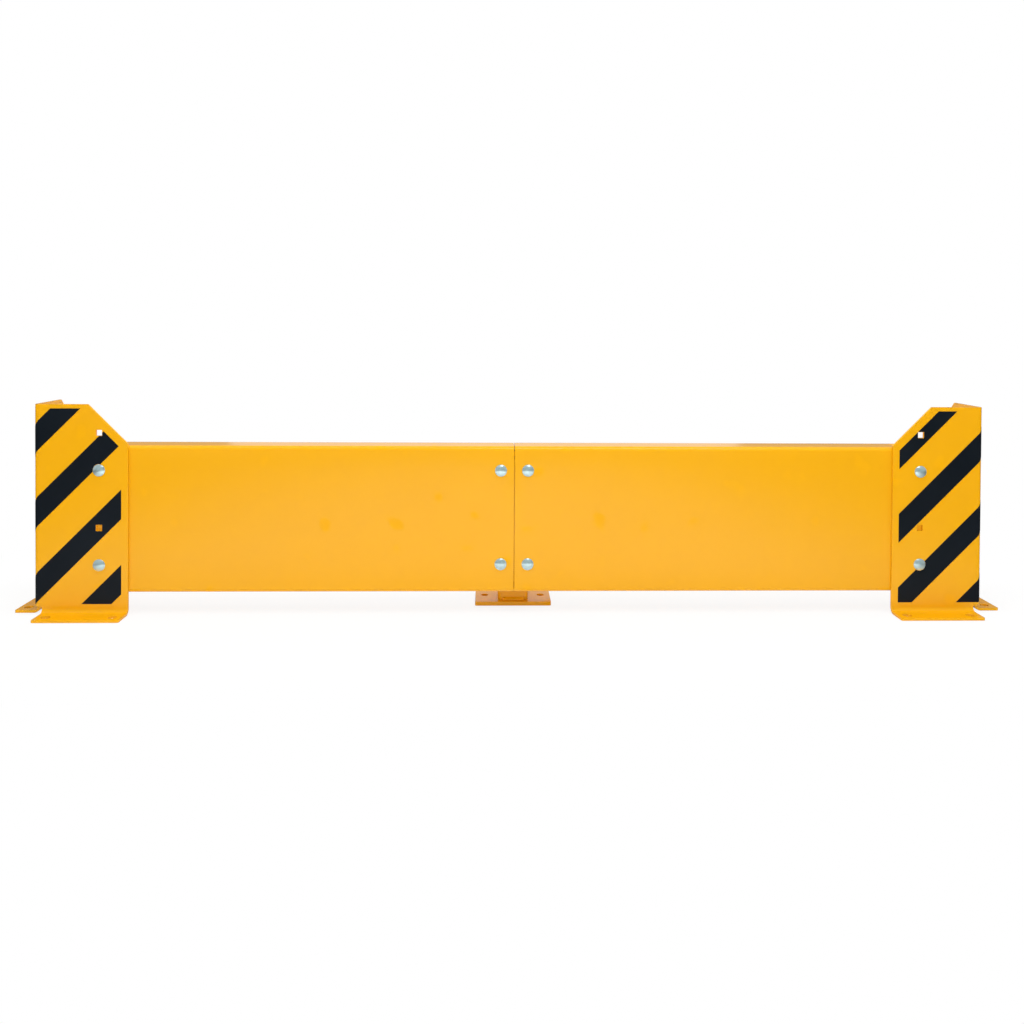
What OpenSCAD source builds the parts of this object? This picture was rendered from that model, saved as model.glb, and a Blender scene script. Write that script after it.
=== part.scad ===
// Rack column guard: two folded corner guards, joined by a pair of folded panels
// that meet on a floor post. All parts are bolted through square holes.
// The origin is on the floor, under the middle of the whole. +X runs along the
// barrier, +Y points to the rack behind it and +Z is up.

/* [Barrier] */
// Length between the outer faces of the two corner guards
barrier_len = 1815; // [1500:5:2400]
// Gap between the two panels at the middle seam
seam_gap = 1; // [0.5:0.5:4]

/* [Corner guards] */
// Height of a corner guard
guard_h = 400; // [390:5:600]
// Width of each wing, from the outer face to its free edge
wing_w = 176; // [160:1:240]
// Thickness of the guard's sheet
guard_t = 5; // [4:0.5:8]
// Inside radius of the upright fold between the wings
fold_r = 4; // [2:0.5:8]
// Size of the slanted cut at the top of each wing's free edge
chamfer = 75; // [40:1:90]

/* [Feet] */
// How far a foot stands out from the wing's outer face
foot_reach = 44; // [40:1:70]
// Inside radius of the fold between wing and foot
foot_bend_r = 8; // [4:0.5:12]
// Distance from the upright fold's outer face to the start of a foot
foot_start = 15; // [14:1:22]
// Radius of a foot's two outer corners
foot_corner_r = 4; // [1:0.5:8]
// Radius of the relief notch beside the upright fold
relief_r = 4; // [2:0.5:6]
// Diameter of the floor holes in the feet
foot_hole_d = 16; // [10:0.5:18]
// Distance from the outer face to a foot's first hole
foot_hole_first = 35; // [28:1:45]
// Distance from the wing's free edge to a foot's last hole
foot_hole_last = 19; // [14:1:40]

/* [Panels] */
// Height of a panel
panel_h = 280; // [220:1:290]
// Height of the panels' lower edge above the floor
panel_z = 41; // [30:1:60]
// Thickness of the panels' sheet
panel_t = 4; // [3:0.5:6]
// Depth of a panel from its front face to the back edge of its flanges
panel_depth = 58; // [40:1:60]
// Inside radius of the panels' folds
panel_fold_r = 4; // [2:0.5:6]
// Length of a panel beyond its bolts at the corner guard
panel_end = 40; // [20:1:60]

/* [Bolt places] */
// Distance from the panels' lower edge to the lower row of bolts
low_row = 54; // [42:1:70]
// Distance from the panels' upper edge to the upper row of bolts
high_row = 46; // [42:1:70]
// Rise from each row of bolts to the spare holes above it
spare_rise = 71; // [40:1:75]
// Distance from a wing's free edge to its column of bolts
bolt_edge = 54; // [40:1:70]
// Distance from the seam to the bolts beside it
seam_bolt = 26; // [20:1:32]

/* [Fasteners] */
// Diameter of the bolts
bolt_d = 10; // [8:1:12]
// Diameter of a bolt's cup head
head_d = 23; // [20:0.5:26]
// Height of a bolt's cup head
head_h = 5; // [4:0.5:7]
// Height of the straight rim round a cup head
head_rim = 1; // [0.5:0.25:2]
// Room round a bolt in its hole, across the whole hole
hole_clear = 1; // [0.5:0.25:2]
// Outer diameter of a washer
washer_d = 20; // [18:0.5:22]
// Thickness of a washer
washer_t = 2; // [1:0.5:3]
// Room between a washer's bore and its bolt, across the whole bore
washer_clear = 0.5; // [0.2:0.1:1]
// Width of a nut across its flats
nut_af = 17; // [15:0.5:19]
// Height of a nut
nut_h = 8; // [6:0.5:10]
// Room between a nut's bore and its bolt, across the whole bore
nut_clear = 0.2; // [0.1:0.05:0.3]
// Length of thread that stands out of a nut
thread_out = 6; // [2:0.5:12]

/* [Post] */
// Width of the square post tube
post_w = 60; // [50:1:70]
// Wall thickness of the post tube
post_t = 4; // [3:0.5:6]
// Outer radius of the post tube's corners
post_corner_r = 8; // [7:0.5:10]
// Distance from the panels' upper edge down to the top of the post tube
post_drop = 18; // [10:1:19]
// Thickness of the rim of the post's cap
cap_t = 3; // [2:0.5:5]
// Depth of the cap's plug in the tube
cap_plug = 14; // [8:1:20]
// Room between the cap's plug and the tube, on each side
cap_clear = 0.2; // [0.1:0.1:0.5]
// Width of the base plate along the barrier
base_w = 150; // [140:1:200]
// Depth of the base plate
base_d = 90; // [76:1:110]
// Thickness of the base plate
base_t = 8; // [6:1:12]
// Radius of the base plate's corners
base_corner_r = 3; // [1:0.5:8]
// Distance between the base plate's two floor holes
base_hole_pitch = 112; // [100:1:120]
// Diameter of the base plate's floor holes
base_hole_d = 14; // [10:0.5:16]
// Size of the weld beads at the foot of the post
base_weld = 6; // [3:0.5:7]

/* [Joint bracket] */
// Depth of the bracket from the back of the panels to the post
bracket_depth = 58; // [55:1:80]
// Width of the bracket across the seam
bracket_w = 90; // [80:1:120]
// Thickness of the bracket's sheet
bracket_t = 5; // [4:0.5:6]
// Inside radius of the bracket's folds
bracket_fold_r = 4; // [2:0.5:5]
// Length of the bracket above and below the rows of bolts
bracket_end = 20; // [19:0.5:21]
// Depth of the full-width part of the bracket, before its legs narrow
bracket_shoulder = 18; // [14:1:30]
// Size of the weld beads between bracket and post
bracket_weld = 5; // [3:0.5:6]

/* [Hazard stripes] */
// Thickness of the film
film_t = 0.25; // [0.15:0.05:0.5]
// Width of a black stripe
stripe_w = 39.5; // [20:0.5:60]
// Distance from one black stripe to the next, square to the stripes
stripe_pitch = 101; // [70:1:140]
// Height of a stripe's middle where it crosses the left guard's column of bolts
left_stripe_z = 169; // [0:1:200]
// Height of a stripe's middle where it crosses the right guard's column of bolts
right_stripe_z = 64; // [0:1:200]
// Bare margin along a wing's free edge
film_edge = 12.5; // [6:0.5:30]
// Bare margin along the top edge
film_top = 8; // [4:0.5:30]
// Bare margin along the slanted edge
film_slant = 15; // [6:0.5:30]
// Height of the film's lower edge
film_z = 21.5; // [20:0.5:40]
// Room round the bolt heads and spare holes
film_clear = 0.5; // [0.2:0.1:2]

/* [Hidden] */
$fn = 64;
// Extra length that carries a cut clear through its wall
cut = 1;

paint = [0.97, 0.68, 0.08];
zinc = [0.80, 0.84, 0.86];
black_film = [0.10, 0.11, 0.13];
black_plastic = [0.08, 0.08, 0.09];

// Places along the depth, measured back from the guards' front face
front_y = -(wing_w - foot_reach) / 2;
panel_y = front_y + guard_t;
bracket_y = panel_y + panel_t;
post_y = bracket_y + bracket_depth + post_w / 2;

// The upright fold and the line where a wing starts to bend into its foot
fold_outer_r = fold_r + guard_t;
bend_z = guard_t + foot_bend_r;
notch_z = bend_z + relief_r;

// The rows of bolts, the spare holes above them and the bolts' column on a wing
bolt_rows = [panel_z + low_row, panel_z + panel_h - high_row];
spare_rows = [for (z = bolt_rows) z + spare_rise];
bolt_u = wing_w - bolt_edge;

// A bolt's neck is as wide as its thread and no longer than the thinner sheet
neck_w = bolt_d;
neck_len = min(guard_t, panel_t);
square_hole = neck_w + hole_clear;
round_hole = bolt_d + hole_clear;

// The thickness of sheets that a bolt holds together, at the guards and at the seam
guard_grip = guard_t + panel_t;
centre_grip = panel_t + bracket_t;

panel_len = barrier_len / 2 - bolt_u + panel_end - seam_gap / 2;
bracket_z = bolt_rows[0] - bracket_end;
bracket_h = bolt_rows[1] - bolt_rows[0] + 2 * bracket_end;
post_z = panel_z + panel_h - post_drop;

// Stripes lean at 45 degrees, so along an upright edge they measure longer
lean = sqrt(2);

// Helpers: frames and directions

// The left guard's own frame: X inwards from its outer face, Y back from its front face
module at_left() {
    translate([-barrier_len / 2, front_y, 0])
        children();
}

// The same frame mirrored to the right guard
module at_right() {
    mirror([1, 0, 0])
        at_left()
            children();
}

// Something on the front wing, and its twin on the side wing
module on_both_wings() {
    children();
    mirror([1, -1, 0])
        children();
}

// A flat outline in X and Z, drawn out backwards along Y
module extrude_back(depth) {
    translate([0, depth, 0])
        rotate([90, 0, 0])
            linear_extrude(depth)
                children();
}

// A flat outline in Y and Z, drawn out along X
module extrude_along(length) {
    rotate([90, 0, 90])
        linear_extrude(length)
            children();
}

// Helpers: outlines

// A square with one round corner, at the origin
module fold_outline(size, r) {
    translate([r, 0])
        square([size - r, size]);
    translate([0, r])
        square([size, size - r]);
    translate([r, r])
        circle(r);
}

// A rectangle about the origin with four round corners
module rounded_rectangle(w, d, r) {
    square([w - 2 * r, d], center = true);
    square([w, d - 2 * r], center = true);
    for (x = [-1, 1], y = [-1, 1])
        translate([x * (w / 2 - r), y * (d / 2 - r)])
            circle(r);
}

// A rectangle whose two front corners are round
module channel_outline(depth, height, r) {
    translate([r, 0])
        square([depth - r, height]);
    translate([0, r])
        square([depth, height - 2 * r]);
    for (y = [r, height - r])
        translate([r, y])
            circle(r);
}

// The section of a folded channel, open at the back
module channel_section(depth, height, t, r) {
    difference() {
        channel_outline(depth, height, r + t);
        translate([t, t])
            channel_outline(depth, height - 2 * t, r);
    }
}

// A quarter of a bent sheet, from level to upright
module bend_section(r, t) {
    intersection() {
        difference() {
            circle(r + t);
            circle(r);
        }
        translate([0, -r - t])
            square(r + t);
    }
}

// The right-angled section of a weld bead
module bead_section(size) {
    polygon([[0, 0], [size, 0], [0, size]]);
}

// Corner guards

// The two wings seen from above
module wings_section() {
    difference() {
        fold_outline(wing_w, fold_outer_r);
        translate([guard_t, guard_t])
            fold_outline(wing_w, fold_r);
    }
}

// A foot seen from above, with its two outer corners rounded
module foot_plan() {
    foot_len = wing_w - foot_start;
    translate([foot_start, -foot_reach + foot_corner_r])
        square([foot_len, foot_reach - foot_bend_r - foot_corner_r]);
    translate([foot_start + foot_corner_r, -foot_reach])
        square([foot_len - 2 * foot_corner_r, foot_corner_r]);
    for (x = [foot_start + foot_corner_r, wing_w - foot_corner_r])
        translate([x, -foot_reach + foot_corner_r])
            circle(foot_corner_r);
}

// A foot and the bend that turns it out of its wing
module foot() {
    linear_extrude(guard_t)
        foot_plan();
    translate([foot_start, -foot_bend_r, bend_z])
        extrude_along(wing_w - foot_start)
            bend_section(foot_bend_r, guard_t);
}

// The rounded gap between the upright fold and the start of a foot
module relief_outline() {
    translate([-cut, 0]) {
        square([foot_start - relief_r + cut, notch_z]);
        square([foot_start + cut, bend_z]);
    }
    translate([foot_start - relief_r, bend_z])
        circle(relief_r);
}

// The triangle cut off the top of a wing's free edge
module chamfer_outline() {
    polygon([
        [wing_w - chamfer - cut, guard_h + cut],
        [wing_w + cut, guard_h + cut],
        [wing_w + cut, guard_h - chamfer - cut]
    ]);
}

// What is cut from each wing and its foot
module wing_cuts() {
    translate([0, -cut, 0])
        extrude_back(fold_outer_r + 2 * cut)
            relief_outline();
    translate([0, -cut, 0])
        extrude_back(guard_t + 2 * cut)
            chamfer_outline();
    for (x = [foot_hole_first, wing_w - foot_hole_last])
        translate([x, -(foot_reach + foot_bend_r) / 2, -cut])
            cylinder(d = foot_hole_d, h = guard_t + 2 * cut);
}

// A square hole through a sheet of the given thickness, from its front face back
module square_cut(width, t) {
    translate([-width / 2, -cut, -width / 2])
        cube([width, t + 2 * cut, width]);
}

module corner_guard() {
    difference() {
        union() {
            translate([0, 0, bend_z])
                linear_extrude(guard_h - bend_z)
                    wings_section();
            on_both_wings()
                foot();
        }
        on_both_wings()
            wing_cuts();
        for (z = concat(bolt_rows, spare_rows))
            translate([bolt_u, 0, z])
                square_cut(square_hole, guard_t);
    }
}

module left_corner_guard() {
    color(paint)
        at_left()
            corner_guard();
}

module right_corner_guard() {
    color(paint)
        at_right()
            corner_guard();
}

// Panels

// The left panel, from its end behind the guard to the seam
module panel() {
    difference() {
        translate([-seam_gap / 2 - panel_len, panel_y, panel_z])
            extrude_along(panel_len)
                channel_section(panel_depth, panel_h, panel_t, panel_fold_r);
        for (z = bolt_rows) {
            translate([-seam_bolt, panel_y, z])
                square_cut(square_hole, panel_t);
            translate([-barrier_len / 2 + bolt_u, panel_y - cut, z])
                rotate([-90, 0, 0])
                    cylinder(d = round_hole, h = panel_t + 2 * cut);
        }
    }
}

module left_panel() {
    color(paint)
        panel();
}

module right_panel() {
    color(paint)
        mirror([1, 0, 0])
            panel();
}

// Post

module post_tube() {
    color(paint)
        translate([0, post_y, base_t])
            linear_extrude(post_z - base_t)
                difference() {
                    rounded_rectangle(post_w, post_w, post_corner_r);
                    rounded_rectangle(post_w - 2 * post_t, post_w - 2 * post_t, post_corner_r - post_t);
                }
}

module post_base_plate() {
    color(paint)
        translate([0, post_y, 0])
            difference() {
                linear_extrude(base_t)
                    rounded_rectangle(base_w, base_d, base_corner_r);
                for (x = [-1, 1])
                    translate([x * base_hole_pitch / 2, 0, -cut])
                        cylinder(d = base_hole_d, h = base_t + 2 * cut);
            }
}

// A bead along the flat of the tube's front, and one along its back
module post_base_weld() {
    bead_len = post_w - 2 * post_corner_r;
    color(paint)
        translate([0, post_y, base_t])
            for (turn = [-90, 90])
                rotate([0, 0, turn])
                    translate([post_w / 2, bead_len / 2, 0])
                        rotate([90, 0, 0])
                            linear_extrude(bead_len)
                                bead_section(base_weld);
}

module post_cap() {
    plug_w = post_w - 2 * post_t - 2 * cap_clear;
    color(black_plastic)
        translate([0, post_y, post_z]) {
            linear_extrude(cap_t)
                rounded_rectangle(post_w, post_w, post_corner_r);
            translate([0, 0, -cap_plug])
                linear_extrude(cap_plug)
                    rounded_rectangle(plug_w, plug_w, post_corner_r - post_t);
        }
}

// Joint bracket

// The corner that narrows a leg from the bracket's full width to the tube's flat
module leg_taper_outline() {
    flat = post_w / 2 - post_corner_r;
    polygon([
        [bracket_w / 2, bracket_shoulder],
        [bracket_w / 2 + cut, bracket_shoulder],
        [bracket_w / 2 + cut, bracket_depth + cut],
        [flat, bracket_depth + cut],
        [flat, bracket_depth]
    ]);
}

module joint_bracket() {
    color(paint)
        translate([0, bracket_y, bracket_z])
            difference() {
                translate([-bracket_w / 2, 0, 0])
                    extrude_along(bracket_w)
                        channel_section(bracket_depth, bracket_h, bracket_t, bracket_fold_r);
                for (side = [0, 1])
                    mirror([side, 0, 0])
                        translate([0, 0, -cut])
                            linear_extrude(bracket_h + 2 * cut)
                                leg_taper_outline();
                for (x = [-seam_bolt, seam_bolt], z = bolt_rows)
                    translate([x, -cut, z - bracket_z])
                        rotate([-90, 0, 0])
                            cylinder(d = round_hole, h = bracket_t + 2 * cut);
            }
}

// A bead on top of the upper leg and one under the lower leg, against the tube
module bracket_welds() {
    bead_len = post_w - 2 * post_corner_r;
    color(paint)
        translate([-bead_len / 2, bracket_y + bracket_depth, 0]) {
            translate([0, 0, bracket_z + bracket_h])
                extrude_along(bead_len)
                    mirror([1, 0])
                        bead_section(bracket_weld);
            translate([0, 0, bracket_z])
                extrude_along(bead_len)
                    mirror([1, 0])
                        mirror([0, 1])
                            bead_section(bracket_weld);
        }
}

// Hazard stripes

// The film round both wings, seen from above
module film_section() {
    difference() {
        translate([-film_t, -film_t])
            fold_outline(wing_w - film_edge + film_t, fold_outer_r + film_t);
        fold_outline(wing_w, fold_outer_r);
    }
}

// The triangle left bare along the slanted edge of a wing
module bare_slant_outline() {
    slant = wing_w - chamfer + guard_h - film_slant * lean;
    polygon([
        [slant - guard_h, guard_h],
        [wing_w, guard_h],
        [wing_w, slant - wing_w]
    ]);
}

// Leaning bands, seen along the diagonal between the wings, where those of both wings
// line up; z is the height of one band's middle at the folded corner, and rise is 1
// where the bands climb to the front wing's free edge and -1 where they fall
module stripe_bands(z, rise) {
    band_h = stripe_w * lean;
    pitch_z = stripe_pitch * lean;
    climb = rise * wing_w * lean;
    count = ceil((guard_h + wing_w) / pitch_z);
    for (n = [-count:count])
        translate([0, z + n * pitch_z - band_h / 2])
            polygon([
                [-wing_w, -climb],
                [wing_w, climb],
                [wing_w, climb + band_h],
                [-wing_w, band_h - climb]
            ]);
}

// The film of a whole guard, clear of its bolt heads and spare holes; z is the height
// of one stripe's middle at the column of bolts
module hazard_stripes(z, rise) {
    difference() {
        intersection() {
            translate([0, 0, film_z])
                linear_extrude(guard_h - film_top - film_z)
                    film_section();
            rotate([0, 0, -45])
                translate([0, -wing_w, 0])
                    extrude_back(2 * wing_w)
                        stripe_bands(z - rise * bolt_u, rise);
        }
        on_both_wings()
            translate([0, -film_t - cut, 0])
                extrude_back(film_t + 2 * cut)
                    bare_slant_outline();
        for (row = bolt_rows)
            translate([bolt_u, -film_t - cut, row])
                rotate([-90, 0, 0])
                    cylinder(d = head_d + 2 * film_clear, h = film_t + 2 * cut);
        for (row = spare_rows)
            translate([bolt_u, -film_t, row])
                square_cut(square_hole + 2 * film_clear, film_t);
    }
}

module left_hazard_stripes() {
    color(black_film)
        at_left()
            hazard_stripes(left_stripe_z, 1);
}

module right_hazard_stripes() {
    color(black_film)
        at_right()
            hazard_stripes(right_stripe_z, -1);
}

// Fasteners, each drawn with its head or seat at the origin and its thread backwards along Y

// A cup head: a low dome on a straight rim
module cup_head() {
    dome_h = head_h - head_rim;
    dome_r = (pow(head_d / 2, 2) + pow(dome_h, 2)) / (2 * dome_h);
    rotate_extrude()
        intersection() {
            translate([0, head_h - dome_r])
                circle(dome_r);
            square([head_d / 2, head_h]);
        }
}

// A bolt for the given thickness of sheets, with a bevelled end
module cup_bolt(grip) {
    length = grip + washer_t + nut_h + thread_out;
    bevel = bolt_d / 10;
    rotate([90, 0, 0])
        cup_head();
    translate([-neck_w / 2, 0, -neck_w / 2])
        cube([neck_w, neck_len, neck_w]);
    rotate([-90, 0, 0])
        rotate_extrude()
            polygon([
                [0, 0],
                [bolt_d / 2, 0],
                [bolt_d / 2, length - bevel],
                [bolt_d / 2 - bevel, length],
                [0, length]
            ]);
}

module washer() {
    rotate([-90, 0, 0])
        difference() {
            cylinder(d = washer_d, h = washer_t);
            translate([0, 0, -cut])
                cylinder(d = bolt_d + washer_clear, h = washer_t + 2 * cut);
        }
}

// A hexagon nut whose corners are turned off at both faces
module nut() {
    corner_r = nut_af / 2 / cos(30);
    bevel = (corner_r - nut_af / 2) * tan(30);
    rotate([-90, 0, 0])
        difference() {
            intersection() {
                cylinder(r = corner_r, h = nut_h, $fn = 6);
                rotate_extrude()
                    polygon([
                        [0, 0],
                        [nut_af / 2, 0],
                        [corner_r, bevel],
                        [corner_r, nut_h - bevel],
                        [nut_af / 2, nut_h],
                        [0, nut_h]
                    ]);
            }
            translate([0, 0, -cut])
                cylinder(d = bolt_d + nut_clear, h = nut_h + 2 * cut);
        }
}

// The bolt places on a guard, at the given depth behind its front face
module at_guard_bolts(depth) {
    for (z = bolt_rows)
        translate([bolt_u, depth, z])
            children();
}

// The bolt places beside the seam, at the given depth behind the panels' front face
module at_centre_bolts(depth) {
    for (x = [-seam_bolt, seam_bolt], z = bolt_rows)
        translate([x, panel_y + depth, z])
            children();
}

module guard_bolts() {
    color(zinc)
        at_guard_bolts(0)
            cup_bolt(guard_grip);
}

module guard_washers() {
    color(zinc)
        at_guard_bolts(guard_grip)
            washer();
}

module guard_nuts() {
    color(zinc)
        at_guard_bolts(guard_grip + washer_t)
            nut();
}

module left_guard_bolts() {
    at_left() guard_bolts();
}

module left_guard_washers() {
    at_left() guard_washers();
}

module left_guard_nuts() {
    at_left() guard_nuts();
}

module right_guard_bolts() {
    at_right() guard_bolts();
}

module right_guard_washers() {
    at_right() guard_washers();
}

module right_guard_nuts() {
    at_right() guard_nuts();
}

module centre_bolts() {
    color(zinc)
        at_centre_bolts(0)
            cup_bolt(centre_grip);
}

module centre_washers() {
    color(zinc)
        at_centre_bolts(centre_grip)
            washer();
}

module centre_nuts() {
    color(zinc)
        at_centre_bolts(centre_grip + washer_t)
            nut();
}

left_corner_guard();
right_corner_guard();
left_panel();
right_panel();
post_tube();
post_base_plate();
post_base_weld();
post_cap();
joint_bracket();
bracket_welds();
left_hazard_stripes();
right_hazard_stripes();
left_guard_bolts();
left_guard_washers();
left_guard_nuts();
right_guard_bolts();
right_guard_washers();
right_guard_nuts();
centre_bolts();
centre_washers();
centre_nuts();
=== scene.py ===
# %% [markdown]
# # A rack column guard, dressed for its picture
# The object is a low floor barrier for the end of a pallet rack. A folded corner guard stands in
# front of each rack column, and two folded panels join the guards across a short post.
#
# The solids already have their true sizes, so nothing here moves or scales them. This lesson adds
# what a solid lacks: rounded edges, screw threads, rippled welds, paint, light and a camera.
# Every length is in metres, and a size that the solids hold is read from them.

# %% Load the solids as a fixed frame
import math

import bmesh
import bpy
from mathutils import Matrix, Vector


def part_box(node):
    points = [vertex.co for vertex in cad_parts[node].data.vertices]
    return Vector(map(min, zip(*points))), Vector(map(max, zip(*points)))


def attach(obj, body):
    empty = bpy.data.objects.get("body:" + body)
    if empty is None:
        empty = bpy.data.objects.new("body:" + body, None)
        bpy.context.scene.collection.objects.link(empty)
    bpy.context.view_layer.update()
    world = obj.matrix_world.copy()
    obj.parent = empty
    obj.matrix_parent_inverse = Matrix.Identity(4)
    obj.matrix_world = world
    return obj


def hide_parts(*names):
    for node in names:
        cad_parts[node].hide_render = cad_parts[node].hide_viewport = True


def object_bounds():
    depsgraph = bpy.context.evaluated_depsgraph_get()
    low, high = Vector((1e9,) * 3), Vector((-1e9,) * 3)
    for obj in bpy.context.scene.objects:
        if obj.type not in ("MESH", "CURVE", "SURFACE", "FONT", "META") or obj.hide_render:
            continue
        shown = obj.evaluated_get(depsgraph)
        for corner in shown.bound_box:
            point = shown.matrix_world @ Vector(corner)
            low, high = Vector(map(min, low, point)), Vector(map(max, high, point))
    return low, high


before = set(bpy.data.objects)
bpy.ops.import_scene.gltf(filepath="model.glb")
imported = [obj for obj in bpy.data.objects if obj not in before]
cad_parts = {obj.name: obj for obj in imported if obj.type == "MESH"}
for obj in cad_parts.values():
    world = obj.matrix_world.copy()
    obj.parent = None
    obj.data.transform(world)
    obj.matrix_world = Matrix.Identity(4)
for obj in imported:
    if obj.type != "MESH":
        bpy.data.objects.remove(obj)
cad_low, cad_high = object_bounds()
scene = bpy.context.scene
MM = 0.001
TOUCHING = 0.001 * MM  # points nearer than this are one
print("solids loaded:", len(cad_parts), "box in m:", tuple(round(x, 3) for x in cad_high - cad_low))

# %% [markdown]
# ## Working by hand, in code
# A Blender operator acts on whatever is selected, and the solids arrive selected. So each step
# starts from an empty selection. In edit mode, parts of a mesh are picked by a test, such as which
# way they face or whether they lie on an open rim, as a modeller would pick them by eye.


# %% Helpers for selecting and finishing
def select_only(*pieces):
    bpy.ops.object.select_all(action="DESELECT")
    for piece in pieces:
        piece.select_set(True)
    bpy.context.view_layer.objects.active = pieces[0]


def name_new(name):
    """Name the object that an operator has just made."""
    piece = bpy.context.object
    piece.name = name
    piece.data.name = name
    return piece


def edit(piece):
    select_only(piece)
    bpy.ops.object.mode_set(mode="EDIT")
    bpy.ops.mesh.select_mode(type="VERT")
    bpy.ops.mesh.select_all(action="SELECT")


def leave_edit():
    bpy.ops.object.mode_set(mode="OBJECT")


def cut(place, normal, **options):
    """In edit mode, cut the whole mesh along a plane."""
    bpy.ops.mesh.select_all(action="SELECT")
    bpy.ops.mesh.bisect(plane_co=place, plane_no=normal, threshold=TOUCHING, **options)


def pick(piece, kind, test):
    """In edit mode, select only the elements of one kind, EDGE or FACE, that pass the test."""
    bpy.ops.mesh.select_mode(type=kind)
    bpy.ops.mesh.select_all(action="DESELECT")
    shape = bmesh.from_edit_mesh(piece.data)
    for element in {"EDGE": shape.edges, "FACE": shape.faces}[kind]:
        if test(element):
            element.select_set(True)
    shape.select_flush_mode()
    bmesh.update_edit_mesh(piece.data)


def apply_modifier(piece, kind, **settings):
    """Add one modifier, set it and apply it at once."""
    select_only(piece)
    modifier = piece.modifiers.new(kind.lower(), kind)
    for setting, value in settings.items():
        setattr(modifier, setting, value)
    bpy.ops.object.modifier_apply(modifier=modifier.name)


def apply_place(piece):
    """Put a piece's place into its mesh, so that its object sits at the origin."""
    select_only(piece)
    bpy.ops.object.transform_apply(location=True, rotation=True, scale=True)


def dress(piece, slot, finish, *nodes):
    """Give a new piece its finish, and let it stand for the solids that it replaces."""
    piece.data.materials.clear()
    piece.data.materials.append(finish)
    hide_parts(*nodes)
    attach(piece, "root")
    triangles = sum(len(face.vertices) - 2 for face in piece.data.polygons)
    print(piece.name, "stands for", ", ".join(nodes), "with", triangles, "triangles")


# %% [markdown]
# ## Shader maths as Python sums
# A finish is a network of nodes. Wiring each Math node by hand hides the idea, so a small class
# wraps a node's output and turns `+`, `-` and `*` into Math nodes. Any other node comes from its
# one method, `node`.

# %% A wire that does sums
# A Mix node has sockets of the same name for each kind of data, so those for colour go by number
MIX_FACTOR, MIX_A, MIX_B, MIX_RESULT = 0, 6, 7, 2


class Wire:
    """One output of a shader network, or the blank start of one."""

    def __init__(self, tree, socket=None):
        self.tree = tree
        self.socket = socket

    def node(self, kind, settings=None, inputs=None, output=0):
        """Add a node, set it up, feed its inputs with values or wires and return one output."""
        made = self.tree.nodes.new(kind)
        for setting, value in (settings or {}).items():
            setattr(made, setting, value)
        for key, value in (inputs or {}).items():
            if isinstance(value, Wire):
                self.tree.links.new(value.socket, made.inputs[key])
            else:
                made.inputs[key].default_value = value
        return Wire(self.tree, made.outputs[output]) if made.outputs else None

    def maths(self, operation, first, second=0.0):
        return self.node("ShaderNodeMath", {"operation": operation}, {0: first, 1: second})

    def __add__(self, other):
        return self.maths("ADD", self, other)

    def __radd__(self, other):
        return self.maths("ADD", other, self)

    def __sub__(self, other):
        return self.maths("SUBTRACT", self, other)

    def __rsub__(self, other):
        return self.maths("SUBTRACT", other, self)

    def __mul__(self, other):
        return self.maths("MULTIPLY", self, other)

    def __rmul__(self, other):
        return self.maths("MULTIPLY", other, self)

    def above(self, low, high):
        """0 below low, 1 above high and a smooth step between."""
        return self.node("ShaderNodeMapRange", {"interpolation_type": "SMOOTHSTEP"},
                         {"Value": self, "From Min": low, "From Max": high})

    def blend(self, first, second):
        """This wire as the share of the second colour in the first."""
        return self.node("ShaderNodeMix", {"data_type": "RGBA"},
                         {MIX_FACTOR: self, MIX_A: first, MIX_B: second}, MIX_RESULT)

    def noise(self, place, scale, detail=2.0):
        """Smooth noise with so many cells to the metre."""
        return self.node("ShaderNodeTexNoise", None, {"Vector": place, "Scale": scale, "Detail": detail})

    def bump(self, height, distance, under=None):
        """A surface raised by height times distance, on top of another bump."""
        inputs = {"Height": height, "Distance": distance}
        if under:
            inputs["Normal"] = under
        return self.node("ShaderNodeBump", None, inputs)


def start_finish(name):
    """A new material: its blank wire, and the coordinates of its object in metres."""
    material = bpy.data.materials.new(name)
    material.use_nodes = True
    material.node_tree.nodes.clear()
    pen = Wire(material.node_tree)
    return material, pen, pen.node("ShaderNodeTexCoord", output="Object")


def close_finish(pen, inputs):
    """End a finish in one Principled shader."""
    surface = pen.node("ShaderNodeBsdfPrincipled", None, inputs)
    pen.node("ShaderNodeOutputMaterial", None, {"Surface": surface})


# %% [markdown]
# ## Yellow powder coat
# The steel is sprayed with dry powder and baked. The film comes out even and semi-gloss, with a
# faint orange peel. The sheet under it is never quite flat, so what it mirrors swims a little. A
# few handling marks mirror less of the white paper, and so look deeper in colour. Colour alone
# would look like plastic, so the finish is built from a steady yellow, two layers of bump, and a
# clear coat that carries most of the gloss and is missing at the marks.


# %% The yellow finish
def yellow_powder_coat():
    material, pen, place = start_finish("yellow_powder_coat")
    signal_yellow = (0.885, 0.422, 0.0012, 1.0)
    thin_yellow = (0.870, 0.412, 0.0018, 1.0)
    coat = 0.6
    cloud = pen.noise(place, 5.0, detail=4.0)
    marks = pen.noise(place, 20.0, detail=1.0).above(0.66, 0.73)
    peel = pen.noise(place, 520.0, detail=1.0)
    sheet_wave = pen.noise(place, 7.0, detail=1.0)
    wavy = pen.bump(sheet_wave, 0.35 * MM)
    close_finish(pen, {
        "Base Color": cloud.above(0.35, 0.75).blend(signal_yellow, thin_yellow),
        "Specular IOR Level": 0.2,
        "Roughness": 0.14 + 0.06 * cloud,
        "Coat Weight": coat - coat * marks,
        "Coat Roughness": 0.17,
        "Normal": pen.bump(peel, 0.005 * MM, wavy),
    })
    return material


yellow = yellow_powder_coat()
print("finish:", yellow.name)

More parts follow.
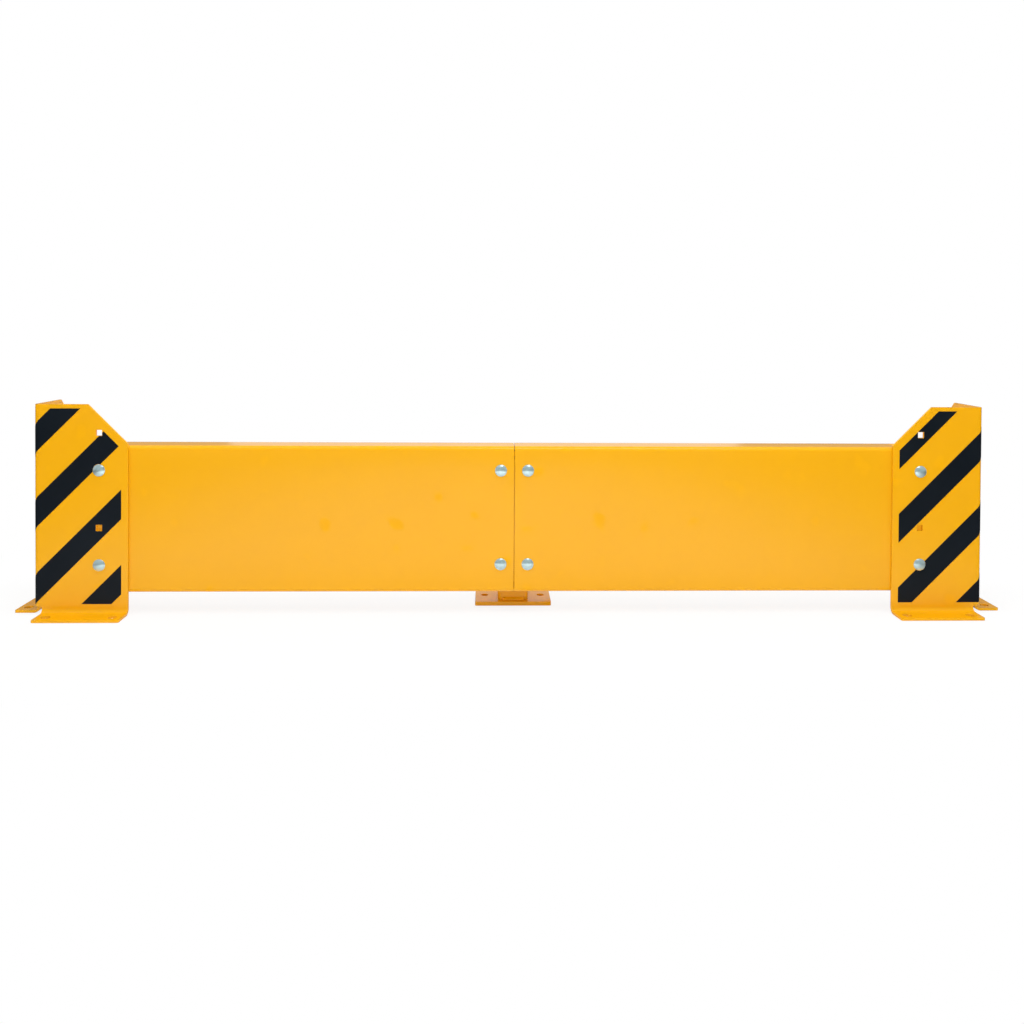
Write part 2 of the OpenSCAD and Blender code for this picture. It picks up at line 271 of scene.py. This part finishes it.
# %% [markdown]
# ## Zinc plating
# Bolts, washers and nuts have a thin layer of zinc with a milky, bluish passivation. The zinc is a
# metal, so its colour is the tint of its reflections, and the milky layer scatters a share of the
# light. Fine cloudiness in the tint and the gloss keeps it from looking like chrome.


# %% The zinc finish
def blue_zinc():
    material, pen, place = start_finish("blue_zinc")
    bright = (0.77, 0.98, 1.00, 1.0)
    dull = (0.71, 0.93, 0.97, 1.0)
    cloud = pen.noise(place, 300.0, detail=3.0)
    grain = pen.noise(place, 2600.0, detail=2.0)
    close_finish(pen, {
        "Base Color": cloud.above(0.35, 0.70).blend(bright, dull),
        "Metallic": 0.72,
        "Roughness": 0.20 + 0.08 * cloud,
        "Normal": pen.bump(grain, 0.0012 * MM),
    })
    return material


zinc = blue_zinc()
print("finish:", zinc.name)

# %% [markdown]
# ## Black film
# The stripes are cut from self-adhesive film and pressed on. Film is satin, less shiny than paint
# and a little blue. A very fine grain breaks up its sheen.


# %% The film finish
def black_stripe_film():
    material, pen, place = start_finish("black_stripe_film")
    deep = (0.0044, 0.0078, 0.0126, 1.0)
    worn = (0.0058, 0.0098, 0.0152, 1.0)
    cloud = pen.noise(place, 9.0, detail=3.0)
    grain = pen.noise(place, 1800.0, detail=2.0)
    close_finish(pen, {
        "Base Color": cloud.above(0.35, 0.70).blend(deep, worn),
        "Specular IOR Level": 0.20,
        "Roughness": 0.42 + 0.12 * cloud,
        "Normal": pen.bump(grain, 0.010 * MM),
    })
    return material


film = black_stripe_film()
print("finish:", film.name)

# %% [markdown]
# ## Moulded black plastic
# The plug in the top of the post is injection moulded, with the fine leathery grain of its mould.
# A Voronoi pattern gives cells like that grain, and they go into the bump alone.


# %% The plastic finish
def grained_plastic():
    material, pen, place = start_finish("grained_plastic")
    black = (0.012, 0.012, 0.013, 1.0)
    grey = (0.020, 0.020, 0.022, 1.0)
    cloud = pen.noise(place, 40.0, detail=3.0)
    cells = pen.node("ShaderNodeTexVoronoi", {"feature": "SMOOTH_F1"}, {"Vector": place, "Scale": 900.0})
    close_finish(pen, {
        "Base Color": cloud.above(0.35, 0.70).blend(black, grey),
        "Roughness": 0.42 + 0.12 * cloud,
        "Normal": pen.bump(cells, 0.03 * MM),
    })
    return material


plastic = grained_plastic()
print("finish:", plastic.name)

# %% [markdown]
# ## Pieces with softened edges
# Guards, panels, bracket, tube and base plate are cut from steel and powder coated, and the coat
# rounds every cut edge over. Washers and nuts are tumbled, and a moulded plug has no sharp edge
# either. A solid's edges are perfectly sharp, so they catch no light. Each of these pieces is a
# copy of its solid: the triangles are merged, flat faces are joined again, and a narrow bevel goes
# along every edge that is sharper than a fold.

# %% Soften the edges
FLAT = math.radians(0.3)
SHARP = math.radians(40)
PAINTED_EDGE = 0.5 * MM
TUMBLED_EDGE = 0.3 * MM
MOULDED_EDGE = 0.8 * MM


def soften(node, width):
    """A copy of a solid with its sharp edges rounded over."""
    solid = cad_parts[node]
    piece = bpy.data.objects.new("soft_" + node, solid.data.copy())
    scene.collection.objects.link(piece)
    edit(piece)
    bpy.ops.mesh.customdata_custom_splitnormals_clear()
    bpy.ops.mesh.remove_doubles(threshold=TOUCHING)
    bpy.ops.mesh.dissolve_limited(angle_limit=FLAT)
    leave_edit()
    bpy.ops.object.shade_smooth_by_angle(angle=SHARP)
    apply_modifier(piece, "BEVEL", width=width, segments=2, limit_method="ANGLE", angle_limit=SHARP,
                   use_clamp_overlap=False, harden_normals=True)
    return piece


for node in ("left_corner_guard", "right_corner_guard", "left_panel", "right_panel",
             "post_tube", "post_base_plate", "joint_bracket"):
    dress(soften(node, PAINTED_EDGE), "yellow_paint", yellow, node)
for group in ("left_guard", "right_guard", "centre"):
    for node in (group + "_washers", group + "_nuts"):
        dress(soften(node, TUMBLED_EDGE), "zinc_plating", zinc, node)
dress(soften("post_cap", MOULDED_EDGE), "black_plastic", plastic, "post_cap")

# %% [markdown]
# ## Weld beads
# A weld is laid as a row of small pools of molten steel. Each freezes half over the last, and that
# leaves ripples. The solids have plain fillets there. One pool is a ball, flattened along the joint
# and leaning the way the welder worked, with only a shallow root left in the two walls that it
# joins. Copies follow the joint, and a Remesh modifier melts them into one skin.

# %% One pool of weld metal
WELD_STEP = 2.6 * MM
WELD_SIZE = 0.9
WELD_FLAT = 0.5
WELD_LEAN = math.radians(28)
WELD_ROOT = 2.5 * MM
WELD_VOXEL = 0.5 * MM


def weld_pool(leg):
    """A pool in the corner between an upright wall behind it and a level wall under it."""
    bpy.ops.object.select_all(action="DESELECT")
    bpy.ops.mesh.primitive_uv_sphere_add(segments=24, ring_count=16, radius=WELD_SIZE * leg,
                                         location=(0, 0, 0))
    pool = name_new("weld_pool")
    edit(pool)
    bpy.ops.transform.resize(value=(WELD_FLAT, 1, 1), center_override=(0, 0, 0))
    leave_edit()
    pool.matrix_world = Matrix.Rotation(WELD_LEAN, 4, Vector((0, 1, 1)))
    apply_place(pool)
    edit(pool)
    cut((0, WELD_ROOT, 0), (0, 1, 0), use_fill=True, clear_outer=True)
    cut((0, 0, -WELD_ROOT), (0, 0, -1), use_fill=True, clear_outer=True)
    leave_edit()
    return pool


def place_copies(pattern, places, name):
    """Copy a piece to each place, and join the copies."""
    copies = []
    for place in places:
        copy = bpy.data.objects.new(name, pattern.data.copy())
        scene.collection.objects.link(copy)
        copy.matrix_world = place
        copies.append(copy)
    for copy in copies:
        apply_place(copy)
    select_only(*copies)
    bpy.ops.object.join()
    return name_new(name)


def weld_bead(leg, places, name):
    """A row of pools, melted together."""
    pool = weld_pool(leg)
    bead = place_copies(pool, places, name)
    bpy.data.objects.remove(pool)
    apply_modifier(bead, "REMESH", mode="VOXEL", voxel_size=WELD_VOXEL, use_smooth_shade=True)
    apply_modifier(bead, "SMOOTH", factor=0.5, iterations=2)
    return bead


# %% The beads at the foot of the post, in front and behind
def bead_places(joints, half):
    """Places for pools along each joint, from one end to the other."""
    count = round(2 * half / WELD_STEP)
    return [joint @ Matrix.Translation((half * (2 * step / count - 1), 0, 0))
            for joint in joints for step in range(count + 1)]


low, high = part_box("post_base_weld")
leg = high.z - low.z
front = Matrix.Translation((0, low.y + leg, low.z))
behind = Matrix.Translation((0, high.y - leg, low.z)) @ Matrix.Rotation(math.pi, 4, "Z")
bead = weld_bead(leg, bead_places((front, behind), high.x - leg / 2), "rippled_post_base_weld")
dress(bead, "yellow_paint", yellow, "post_base_weld")

# %% The beads between bracket and post, above and below
low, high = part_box("bracket_welds")
leg = high.y - low.y
upper = Matrix.Translation((0, high.y, high.z - leg))
lower = Matrix.Translation((0, high.y, low.z + leg)) @ Matrix.Rotation(math.pi, 4, "Y")
bead = weld_bead(leg, bead_places((upper, lower), high.x - leg / 2), "rippled_bracket_welds")
dress(bead, "yellow_paint", yellow, "bracket_welds")

# %% [markdown]
# ## Cup-head bolts
# A cup-head bolt has a low dome to the front, a square neck that a square hole keeps from turning,
# and a screw thread. The dome starts as a ball that is cut down to its cap. The neck starts as a
# cube. The thread starts as one point, drawn out to the outline of a single groove, and a Screw
# modifier winds that outline up. A cone then turns its end down. A union makes one closed piece of
# the three.
#
# A union is clean only where no faces almost touch. So the thread is a little under its nominal
# size, which keeps it clear of the neck's sides, and the ball's rings are spaced so that none lies
# next to the cut.

# %% Sizes of a bolt
guard_bolts_low, guard_bolts_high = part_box("left_guard_bolts")
HEAD_R = (guard_bolts_high.x - guard_bolts_low.x) / 2
HEAD_H = 5 * MM
HEAD_RIM = 1 * MM
HEAD_EDGE = 0.35 * MM
HEAD_RINGS = 84
BOLT_R = 5 * MM
BOLT_LEN = guard_bolts_high.y - guard_bolts_low.y - HEAD_H
NECK_LEN = 4 * MM
NECK_EDGE = 0.5 * MM
PITCH = 1.5 * MM
THREAD_UNDER = 0.07 * MM
THREAD_DEPTH = 0.61 * PITCH
THREAD_STEPS = 40
THREAD_R = BOLT_R - THREAD_UNDER
ROOT_R = BOLT_R - THREAD_DEPTH
CREST = PITCH / 8
ROOT = PITCH / 4
END_BEVEL = 1 * MM
OVERLAP = 0.5 * MM
ROUND = 64
FACING = 0.9
DOME_H = HEAD_H - HEAD_RIM
DOME_R = (HEAD_R ** 2 + DOME_H ** 2) / (2 * DOME_H)
print("bolt: head", round(2 * HEAD_R / MM, 2), "mm, length", round(BOLT_LEN / MM, 2), "mm")


# %% The head: a ball cut down to its cap
def cup_head():
    bpy.ops.object.select_all(action="DESELECT")
    bpy.ops.mesh.primitive_uv_sphere_add(segments=ROUND, ring_count=HEAD_RINGS, radius=DOME_R,
                                         location=(0, 0, HEAD_H - DOME_R))
    head = name_new("cup_head")
    apply_place(head)
    edit(head)
    cut((0, 0, HEAD_RIM), (0, 0, 1), clear_inner=True)
    pick(head, "EDGE", lambda edge: edge.is_boundary)
    bpy.ops.mesh.extrude_edges_move(TRANSFORM_OT_translate={"value": (0, 0, -HEAD_RIM)})
    pick(head, "EDGE", lambda edge: edge.is_boundary)
    bpy.ops.mesh.edge_face_add()
    bpy.ops.mesh.select_all(action="SELECT")
    bpy.ops.mesh.normals_make_consistent(inside=False)
    leave_edit()
    apply_modifier(head, "BEVEL", width=HEAD_EDGE, segments=3, limit_method="ANGLE", angle_limit=SHARP)
    return head


# %% The square neck: a cube with softened edges
def square_neck():
    bpy.ops.object.select_all(action="DESELECT")
    bpy.ops.mesh.primitive_cube_add(size=2 * BOLT_R, location=(0, 0, 0))
    neck = name_new("square_neck")
    edit(neck)
    pick(neck, "FACE", lambda face: face.normal.z > FACING)
    bpy.ops.transform.translate(value=(0, 0, OVERLAP - BOLT_R))
    pick(neck, "FACE", lambda face: face.normal.z < -FACING)
    bpy.ops.transform.translate(value=(0, 0, BOLT_R - NECK_LEN))
    leave_edit()
    apply_modifier(neck, "BEVEL", width=NECK_EDGE, segments=2)
    return neck


# %% The thread: one groove, wound up by a Screw modifier
def screw_thread():
    flank = (PITCH - CREST - ROOT) / 2
    outline = [(THREAD_R - ROOT_R, flank), (0, CREST), (ROOT_R - THREAD_R, flank), (0, ROOT)]
    turns = math.ceil(BOLT_LEN / PITCH) + 2
    bpy.ops.object.select_all(action="DESELECT")
    bpy.ops.mesh.primitive_plane_add(size=PITCH, location=(0, 0, 0))
    thread = name_new("screw_thread")
    edit(thread)
    bpy.ops.mesh.merge(type="CENTER")
    bpy.ops.transform.translate(value=(ROOT_R, 0, -BOLT_LEN - PITCH))
    for outwards, along in outline:
        bpy.ops.mesh.extrude_region_move(TRANSFORM_OT_translate={"value": (outwards, 0, along)})
    leave_edit()
    apply_modifier(thread, "SCREW", axis="Z", screw_offset=PITCH, iterations=turns, steps=THREAD_STEPS,
                   render_steps=THREAD_STEPS, use_merge_vertices=True, merge_threshold=TOUCHING / 10)
    edit(thread)
    bpy.ops.mesh.remove_doubles(threshold=TOUCHING)
    cut((0, 0, OVERLAP - NECK_LEN), (0, 0, 1), use_fill=True, clear_outer=True)
    cut((0, 0, -BOLT_LEN - OVERLAP), (0, 0, -1), use_fill=True, clear_outer=True)
    bpy.ops.mesh.select_all(action="SELECT")
    bpy.ops.mesh.normals_make_consistent(inside=False)
    leave_edit()
    end_r = THREAD_R - END_BEVEL
    bpy.ops.object.select_all(action="DESELECT")
    bpy.ops.mesh.primitive_cone_add(vertices=ROUND, radius1=end_r, radius2=end_r + BOLT_LEN,
                                    depth=BOLT_LEN, location=(0, 0, -BOLT_LEN / 2))
    cone = name_new("end_cone")
    apply_place(cone)
    apply_modifier(thread, "BOOLEAN", operation="INTERSECT", solver="EXACT", object=cone)
    bpy.data.objects.remove(cone)
    return thread


# %% One bolt out of three parts
def fuse(body, *others):
    """Join closed pieces into one closed piece."""
    for other in others:
        apply_modifier(body, "BOOLEAN", operation="UNION", solver="EXACT", object=other)
        bpy.data.objects.remove(other)
    edit(body)
    bpy.ops.mesh.remove_doubles(threshold=TOUCHING)
    leave_edit()
    bpy.ops.object.shade_smooth_by_angle(angle=SHARP)
    return body


bolt = fuse(cup_head(), square_neck(), screw_thread())
bolt.name = "cup_head_bolt"
print("bolt:", len(bolt.data.polygons), "faces")

# %% [markdown]
# The bolts' places come from the boxes of their solids. Each copy has a mesh of its own, is turned
# so that its head faces the aisle, and the copies of one solid are joined into one piece.

# %% Put a bolt at every place
TO_AISLE = Matrix.Rotation(math.radians(90), 4, "X")


def bolt_places(node):
    """Each bolt's seat, turned to the aisle, in a grid of one or two columns by two rows."""
    low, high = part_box(node)
    columns = sorted({round(low.x + HEAD_R, 6), round(high.x - HEAD_R, 6)})
    rows = (low.z + HEAD_R, high.z - HEAD_R)
    return [Matrix.Translation((x, low.y + HEAD_H, z)) @ TO_AISLE for x in columns for z in rows]


for node in ("left_guard_bolts", "right_guard_bolts", "centre_bolts"):
    bolts = place_copies(bolt, bolt_places(node), "threaded_" + node)
    dress(bolts, "zinc_plating", zinc, node)
bpy.data.objects.remove(bolt)

# %% [markdown]
# ## Stripes
# The film is thin and sharply cut, so its solids are right as they are and only get their finish.

# %% Finish the stripes
for node in ("left_hazard_stripes", "right_hazard_stripes"):
    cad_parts[node].material_slots[0].material = film
    print(film.name, "on", node)

# %% [markdown]
# ## Floor and background
# The object stands on white paper. For a ray off a gloss the floor glows: a painted oval pool of
# light, darkened near the object by a painted shadow. The glossy paint mirrors that pool, so the
# panels are paler low down and deeper in colour near the top and the ends. The camera sees plain
# white all round: for a ray straight from the camera, the floor gives white light instead, apart
# from a share near the object that keeps its real shadow. The room all round is an even white,
# weaker where it lights the object than where the camera sees it, and weaker again in gloss.

# %% The floor
FLOOR_SIZE = 16.0
FLOOR_DROP = 0.2 * MM
POOL_MIDDLE = -0.06
POOL_HALF_WIDTH = 1.45
POOL_REACH = 3.0
POOL_SOFT = 0.62
# Reach of the shadow near the object: the share of real shadow the camera keeps, and the painted shadow
# in gloss
SHADOW_REACH = 0.35
SHADOW_SEEN = 0.14
SHADOW_MIRRORED = 0.45
WHITE = (1.0, 1.0, 1.0, 1.0)
BLACK = (0.0, 0.0, 0.0, 1.0)


def ray_kinds(pen):
    """1 for rays from the camera, and 1 for rays off a gloss or through glass."""
    straight = pen.node("ShaderNodeLightPath", output="Is Camera Ray")
    glossy = pen.node("ShaderNodeLightPath", output="Is Glossy Ray")
    return straight, glossy + pen.node("ShaderNodeLightPath", output="Is Transmission Ray")


def paper_floor():
    material, pen, place = start_finish("paper_floor")
    across = pen.node("ShaderNodeSeparateXYZ", None, {"Vector": place}, "X")
    along = pen.node("ShaderNodeSeparateXYZ", None, {"Vector": place}, "Y")
    sideways = (across - POOL_MIDDLE) * (1 / POOL_HALF_WIDTH)
    forward = along * (1 / POOL_REACH)
    oval = pen.maths("SQRT", sideways * sideways + forward * forward)
    # Painted light: an oval pool of light for rays off a gloss, bright in the middle and fading to black
    pool = 1 - oval.above(1 - POOL_SOFT, 1.0)
    beside = pen.maths("MAXIMUM", pen.maths("ABSOLUTE", across) - cad_high.x, 0.0)
    before = pen.maths("MAXIMUM", pen.maths("ABSOLUTE", along) - cad_high.y, 0.0)
    near = 1 - pen.maths("SQRT", beside * beside + before * before).above(0.0, SHADOW_REACH)
    straight, mirrored = ray_kinds(pen)
    dull_paper = (0.89, 0.89, 0.89, 1.0)
    bright_paper = (0.91, 0.91, 0.91, 1.0)
    fibres = pen.noise(place, 60.0).blend(dull_paper, bright_paper)
    matt = pen.node("ShaderNodeBsdfDiffuse", None, {"Color": fibres})
    # Painted pool of light and painted shadow near the object, glowing for rays off a gloss; plain white
    # for the camera
    painted_pool_and_shadow = pen.maths("MAXIMUM", straight, pool * (1 - SHADOW_MIRRORED * near))
    glow = pen.node("ShaderNodeEmission", None, {"Color": painted_pool_and_shadow.blend(BLACK, WHITE), "Strength": 1.0})
    share = straight * (1 - SHADOW_SEEN * near) + mirrored
    surface = pen.node("ShaderNodeMixShader", None, {0: share, 1: matt, 2: glow})
    pen.node("ShaderNodeOutputMaterial", None, {"Surface": surface})
    return material


bpy.ops.object.select_all(action="DESELECT")
bpy.ops.mesh.primitive_plane_add(size=FLOOR_SIZE, location=(0, 0, cad_low.z - FLOOR_DROP))
floor = name_new("floor")
apply_place(floor)
floor.data.materials.append(paper_floor())
print("floor:", FLOOR_SIZE, "m square")

# %% The room
ROOM_LIGHT = 0.345
ROOM_IN_GLOSS = 0.25


def studio_room():
    world = bpy.data.worlds.new("studio_room")
    world.use_nodes = True
    world.node_tree.nodes.clear()
    pen = Wire(world.node_tree)
    straight, mirrored = ray_kinds(pen)
    strength = straight + ROOM_IN_GLOSS * mirrored + ROOM_LIGHT * (1 - straight - mirrored)
    surface = pen.node("ShaderNodeBackground", None, {"Color": WHITE, "Strength": strength})
    pen.node("ShaderNodeOutputWorld", None, {"Surface": surface})
    return world


scene.world = studio_room()
print("room light:", ROOM_LIGHT, "and in gloss", ROOM_IN_GLOSS)

# %% [markdown]
# Two more things show in reflections alone. The paper sweeps up behind the object, and whitens the
# flanges and the feet. Behind the camera stands a dark wall. It deepens the colour of the folds
# that face it, and draws the dark band on the bolt heads.

# %% The paper and the wall that only gloss shows
SWEEP_PLACE = (POOL_MIDDLE, 2.6, 1.2)
SWEEP_SIZE = (2.5, 2.4)
SWEEP_SHADES = ((0.54, 0.54, 0.54, 1.0), (0.66, 0.66, 0.66, 1.0))
WALL_PLACE = (0.0, -4.5, 1.7)
WALL_SIZE = (FLOOR_SIZE, 3.4)
WALL_SHADES = ((0.09, 0.13, 0.14, 1.0), (0.12, 0.17, 0.18, 1.0))


def soft_shade(name, first, second):
    """A finish that drifts between two shades and gives its own light."""
    material, pen, place = start_finish(name)
    drift = pen.noise(place, 1.5).blend(first, second)
    glow = pen.node("ShaderNodeEmission", None, {"Color": drift, "Strength": 1.0})
    pen.node("ShaderNodeOutputMaterial", None, {"Surface": glow})
    return material


def screen_in_gloss(name, place, size, finish):
    """An upright screen across the depth that neither the camera nor the light meets."""
    bpy.ops.object.select_all(action="DESELECT")
    bpy.ops.mesh.primitive_plane_add(size=1, location=place, rotation=(math.pi / 2, 0, 0))
    screen = name_new(name)
    screen.scale = (*size, 1)
    apply_place(screen)
    screen.data.materials.append(finish)
    screen.visible_camera = False
    screen.visible_diffuse = False
    screen.visible_shadow = False
    print(name, size, "m")


screen_in_gloss("paper_sweep", SWEEP_PLACE, SWEEP_SIZE, soft_shade("paper_in_gloss", *SWEEP_SHADES))
screen_in_gloss("dark_wall", WALL_PLACE, WALL_SIZE, soft_shade("wall_in_gloss", *WALL_SHADES))

# %% [markdown]
# ## Soft light
# Softboxes give most of the light: a wide one overhead, a low one in front that reaches under the
# panels, a key light high in front and a little to the right, and one behind. The room fills the
# shadows. A strong lamp seen in the paint would draw a bright patch, so only the key light, the
# weakest, shows in gloss.


# %% The softboxes
def softbox(name, place, aim, width, depth, power, in_gloss=False):
    lamp = bpy.data.lights.new(name, "AREA")
    lamp.shape = "RECTANGLE"
    lamp.size = width
    lamp.size_y = depth
    lamp.energy = power
    holder = bpy.data.objects.new(name, lamp)
    scene.collection.objects.link(holder)
    holder.location = place
    holder.rotation_euler = (Vector(aim) - Vector(place)).to_track_quat("-Z", "Y").to_euler()
    holder.visible_camera = False
    holder.visible_glossy = in_gloss
    print(name, power, "W")


MIDDLE = (cad_low + cad_high) / 2
softbox("key_softbox", (0.6, -1.7, 2.9), MIDDLE, 1.6, 0.8, 10.5, in_gloss=True)
softbox("front_softbox", (-0.2, -3.2, 0.46), MIDDLE, 3.4, 0.9, 23)
softbox("overhead_softbox", (0.0, -0.7, 2.8), (0.0, -0.7, 0.0), 4.4, 1.8, 86)
softbox("back_softbox", (0.0, 2.6, 2.2), (0.0, 0.4, 0.1), 3.0, 1.2, 44)

# %% [markdown]
# ## Camera
# The camera stands a little left of the middle and looks over the top of the panels. It is almost
# level, which keeps upright edges upright. The object is low in the picture, so the lens is shifted
# down instead.

# %% The camera
CAMERA_PLACE = (-0.0507, -1.7669, 0.5587)
CAMERA_YAW = math.radians(-1.485)
CAMERA_TILT = math.radians(-0.810)
CAMERA_ROLL = math.radians(0.343)
LENS_MM = 31.366
LENS_SHIFT = -0.1726

camera_data = bpy.data.cameras.new("camera")
camera_data.lens = LENS_MM
camera_data.shift_y = LENS_SHIFT
camera = bpy.data.objects.new("camera", camera_data)
scene.collection.objects.link(camera)
aim = Matrix.Rotation(math.radians(90) + CAMERA_TILT, 4, "X") @ Matrix.Rotation(CAMERA_ROLL, 4, "Z")
camera.matrix_world = Matrix.Translation(CAMERA_PLACE) @ Matrix.Rotation(CAMERA_YAW, 4, "Z") @ aim
scene.camera = camera
scene.view_settings.view_transform = "Standard"
print("camera:", LENS_MM, "mm lens")
